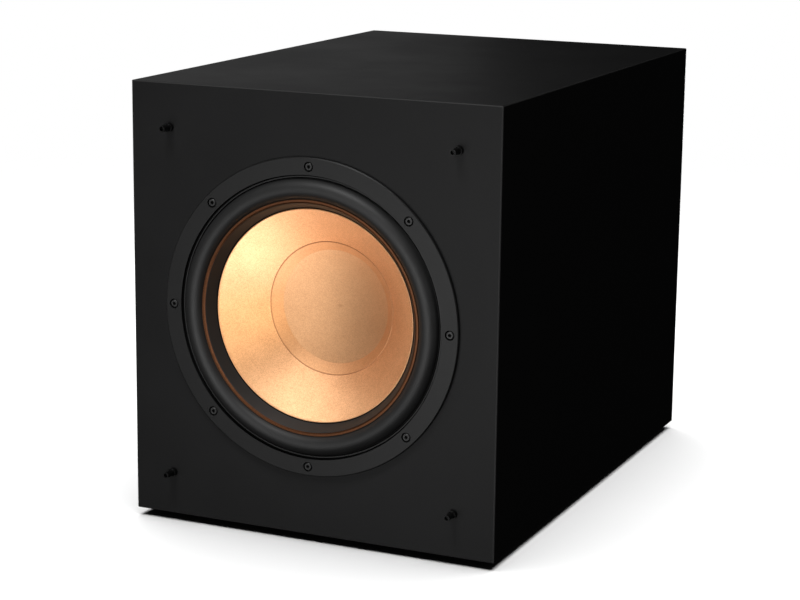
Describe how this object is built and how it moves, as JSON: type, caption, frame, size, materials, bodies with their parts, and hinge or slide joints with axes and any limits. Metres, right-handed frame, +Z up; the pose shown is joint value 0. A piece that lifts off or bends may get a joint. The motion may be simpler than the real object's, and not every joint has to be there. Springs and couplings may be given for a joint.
{
  "type": "powered subwoofer",
  "caption": "Black box-shaped powered subwoofer with one large front driver, copper-coloured cone, grille pegs, low feet and a rear amplifier panel.",
  "frame": {"origin": "on the floor under the centre of the whole object's box, at the underside of the rubber feet", "axes": "+Z up, the driver faces -Y, +X is to the right when looking at the driver"},
  "size_m": [0.394, 0.6, 0.448],
  "materials": {
    "baffle_lacquer": "satin black lacquer on fibreboard",
    "cabinet_lacquer": "fine-textured satin black lacquer on fibreboard",
    "bare_board": "raw fibreboard",
    "batten_wood": "sawn softwood",
    "lining_wool": "felted polyester",
    "foot_rubber": "matte",
    "peg_plastic": "satin",
    "frame_paint": "fine satin powder coat",
    "gasket_foam": "matte foam",
    "black_screw": "black oxide",
    "zinc_steel": "zinc plated",
    "motor_steel": "passivated",
    "ferrite": "matte",
    "boot_rubber": "satin",
    "surround_rubber": "satin butyl rubber",
    "spider_cloth": "resin-dipped cloth",
    "tinsel_braid": "braided copper",
    "cone_copper": "satin metallic copper, fine grain",
    "rim_copper": "satin metallic copper",
    "cap_copper": "satin metallic copper, softer",
    "former_foil": "foil",
    "coil_wire": "enamelled copper",
    "plate_paint": "fine satin powder coat",
    "sink_anodised": "black anodised",
    "chassis_sheet": "plain sheet",
    "board_green": "solder mask",
    "winding_copper": "enamelled winding",
    "capacitor_sleeve": "gloss sleeve",
    "transistor_case": "moulded",
    "pot_metal": "plain",
    "knob_plastic": "satin",
    "slider_plastic": "satin",
    "rocker_plastic": "satin gloss",
    "inlet_plastic": "moulded",
    "inlet_brass": "nickel-washed brass",
    "fuse_glass": "glass with plated caps",
    "socket_gold": "gold plated",
    "socket_insulator": "moulded",
    "lamp_lens": "translucent",
    "block_plastic": "moulded",
    "wire_jacket": "vinyl"
  },
  "bodies": {
    "cabinet": {"front_baffle": "baffle_lacquer", "rear_panel": "cabinet_lacquer", "top_panel": "cabinet_lacquer", "bottom_panel": "cabinet_lacquer", "left_side_panel": "cabinet_lacquer", "right_side_panel": "cabinet_lacquer", "window_brace": "bare_board", "corner_battens": "batten_wood", "damping_lining": "lining_wool", "rubber_feet": "foot_rubber", "grille_pegs": "peg_plastic", "driver_flange": "frame_paint", "driver_basket": "frame_paint", "frame_gasket": "gasket_foam", "amp_gasket": "gasket_foam", "driver_screws": "black_screw", "amp_screws": "black_screw", "foot_screws": "zinc_steel", "tee_nuts": "zinc_steel", "toroid_bolt": "zinc_steel", "top_plate": "motor_steel", "pole_yoke": "motor_steel", "magnet_rings": "ferrite", "magnet_boot": "boot_rubber", "tinsel_leads": "tinsel_braid", "amp_plate": "plate_paint", "heat_sink": "sink_anodised", "amp_chassis": "chassis_sheet", "control_board": "board_green", "power_board": "board_green", "toroid_transformer": "winding_copper", "filter_capacitors": "capacitor_sleeve", "output_transistors": "transistor_case", "control_bodies": "pot_metal", "rocker_bezel": "rocker_plastic", "mains_inlet": "inlet_plastic", "inlet_pins": "inlet_brass", "terminal_tabs": "inlet_brass", "line_shells": "socket_gold", "line_insulators": "socket_insulator", "status_lamp": "lamp_lens", "terminal_block": "block_plastic", "speaker_cable": "wire_jacket"},
    "cone_assembly": {"cone": "cone_copper", "cone_edge": "cone_copper", "rim_ring": "rim_copper", "dust_cap": "cap_copper", "coil_former": "former_foil", "voice_coil": "coil_wire", "surround": "surround_rubber", "spider": "spider_cloth"},
    "level_control": {"level_knob": "knob_plastic", "level_shaft": "zinc_steel"},
    "lowpass_control": {"lowpass_knob": "knob_plastic", "lowpass_shaft": "zinc_steel"},
    "phase_slider": {"phase_slider": "slider_plastic"},
    "auto_slider": {"auto_slider": "slider_plastic"},
    "power_rocker": {"power_rocker": "rocker_plastic"},
    "fuse_drawer": {"fuse_drawer": "inlet_plastic", "fuse": "fuse_glass"}
  },
  "joints": [
    {"name": "cone_excursion", "type": "slide", "parent": "cabinet", "child": "cone_assembly", "axis": [0, -1, 0], "range_m": [-0.012, 0.012], "stiffness_N_per_m": 4200, "deforming": ["surround", "spider", "tinsel_leads"]},
    {"name": "level_turn", "type": "hinge", "parent": "cabinet", "child": "level_control", "pos_m": [-0.062, 0.2805, 0.34], "axis": [0, -1, 0], "range_deg": [-150, 150]},
    {"name": "lowpass_turn", "type": "hinge", "parent": "cabinet", "child": "lowpass_control", "pos_m": [-0.012, 0.2805, 0.34], "axis": [0, -1, 0], "range_deg": [-150, 150]},
    {"name": "phase_slide", "type": "slide", "parent": "cabinet", "child": "phase_slider", "axis": [1, 0, 0], "range_m": [0, 0.004]},
    {"name": "auto_slide", "type": "slide", "parent": "cabinet", "child": "auto_slider", "axis": [1, 0, 0], "range_m": [0, 0.004]},
    {"name": "rocker_tilt", "type": "hinge", "parent": "cabinet", "child": "power_rocker", "pos_m": [0.05, 0.2809, 0.116], "axis": [1, 0, 0], "range_deg": [0, 18]},
    {"name": "fuse_pull", "type": "slide", "parent": "cabinet", "child": "fuse_drawer", "axis": [0, 1, 0], "range_m": [0, 0.014]}
  ]
}
